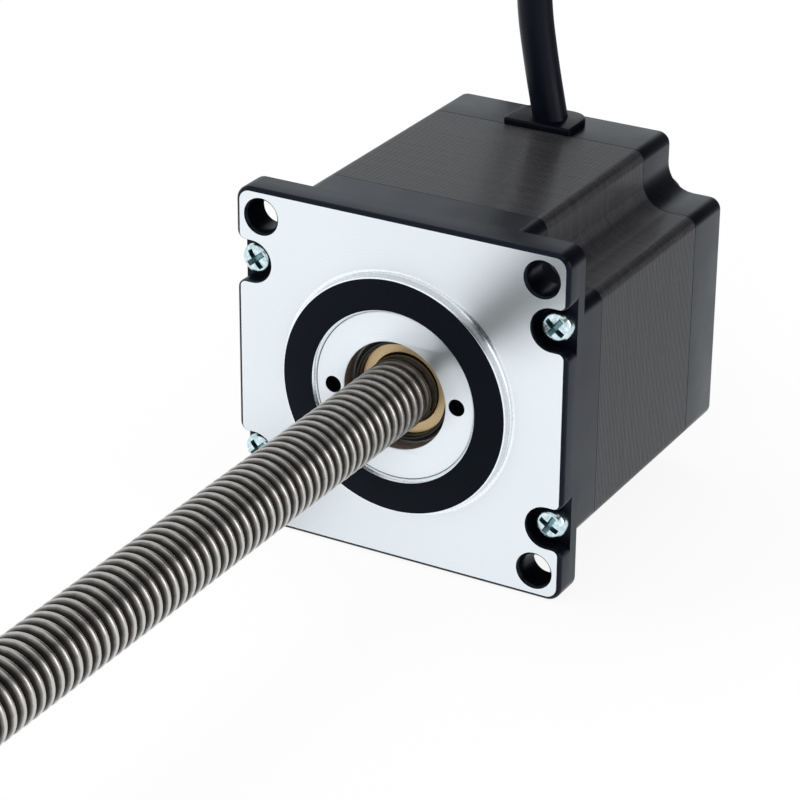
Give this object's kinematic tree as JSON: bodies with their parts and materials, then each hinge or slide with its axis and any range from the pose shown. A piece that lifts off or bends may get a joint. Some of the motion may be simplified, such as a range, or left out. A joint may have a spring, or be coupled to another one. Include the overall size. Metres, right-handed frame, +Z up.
{
  "type": "non-captive linear stepper motor",
  "caption": "Square hybrid stepper motor whose hollow rotor turns a brass nut, which drives a long lead screw straight through the body; the cable leaves the top.",
  "frame": {"origin": "centre of the mounting flange's front face, on the motor axis", "axes": "+Y runs back into the motor along the lead screw, +Z is up, where the cable leaves, and +X is the motor's right side seen from the front"},
  "size_m": [0.0941, 0.2995, 0.1348],
  "materials": {
    "cap_paint": "satin black paint on die-cast aluminium, with the mounting face machined bright",
    "stack_steel": "dark stamped electrical steel sheets, edges showing",
    "magnet": "plain sintered magnet",
    "zinc_steel": "bright zinc plate",
    "insulator": "moulded, matt",
    "copper": "enamelled copper wire",
    "bright_aluminium": "turned, satin",
    "bearing_steel": "ground",
    "shaft_steel": "turned, dark oxide",
    "nut_brass": "turned, dull",
    "screw_steel": "rolled thread, bright crests",
    "gland_rubber": "moulded, satin",
    "lead_insulation": "smooth",
    "cable_jacket": "satin",
    "sleeve": "shrunk, satin",
    "connector_plastic": "moulded, matt"
  },
  "bodies": {
    "housing": {"front_end_cap": "cap_paint", "stator_laminations": "stack_steel", "rear_end_cap": "cap_paint", "clamp_screws": "zinc_steel", "front_winding_insulator": "insulator", "rear_winding_insulator": "insulator", "stator_windings": "copper", "retainer_ring": "bright_aluminium", "spring_washer": "bearing_steel", "front_bearing_outer_ring": "bearing_steel", "front_bearing_shields": "bearing_steel", "rear_bearing_outer_ring": "bearing_steel", "rear_bearing_shields": "bearing_steel", "cable_gland": "gland_rubber", "cable_cores": "lead_insulation", "cable_lead": "cable_jacket", "cable_coil": "cable_jacket", "cable_tail": "cable_jacket", "cable_end_sleeve": "sleeve", "lead_wires": "lead_insulation", "cable_connector": "connector_plastic"},
    "rotor": {"hollow_shaft": "shaft_steel", "front_rotor_cup": "stack_steel", "rotor_magnet": "magnet", "rear_rotor_cup": "stack_steel", "drive_nut": "nut_brass", "front_bearing_inner_ring": "bearing_steel", "rear_bearing_inner_ring": "bearing_steel"},
    "travelling_screw": {"lead_screw": "screw_steel"},
    "front_ball_set": {"front_bearing_balls": "bearing_steel", "front_bearing_cage": "bearing_steel"},
    "rear_ball_set": {"rear_bearing_balls": "bearing_steel", "rear_bearing_cage": "bearing_steel"}
  },
  "joints": [
    {"name": "rotor_spin", "type": "hinge", "parent": "housing", "child": "rotor", "pos_m": [0, 0.027, 0], "axis": [0, 1, 0], "range_deg": [-27000, 9900]},
    {"name": "screw_travel", "type": "slide", "parent": "housing", "child": "travelling_screw", "axis": [0, -1, 0], "range_m": [-0.1505, 0.0555]},
    {"name": "front_balls_orbit", "type": "hinge", "parent": "housing", "child": "front_ball_set", "pos_m": [0, 0.00455, 0], "axis": [0, 1, 0], "range_deg": [-12090, 4458]},
    {"name": "rear_balls_orbit", "type": "hinge", "parent": "housing", "child": "rear_ball_set", "pos_m": [0, 0.04905, 0], "axis": [0, 1, 0], "range_deg": [-12090, 4458]}
  ],
  "couplings": [
    {"joint": "screw_travel", "follows": "rotor_spin", "m_per_rad": 0.00031831},
    {"joint": "front_balls_orbit", "follows": "rotor_spin", "ratio": 0.44628},
    {"joint": "rear_balls_orbit", "follows": "rotor_spin", "ratio": 0.44628}
  ]
}
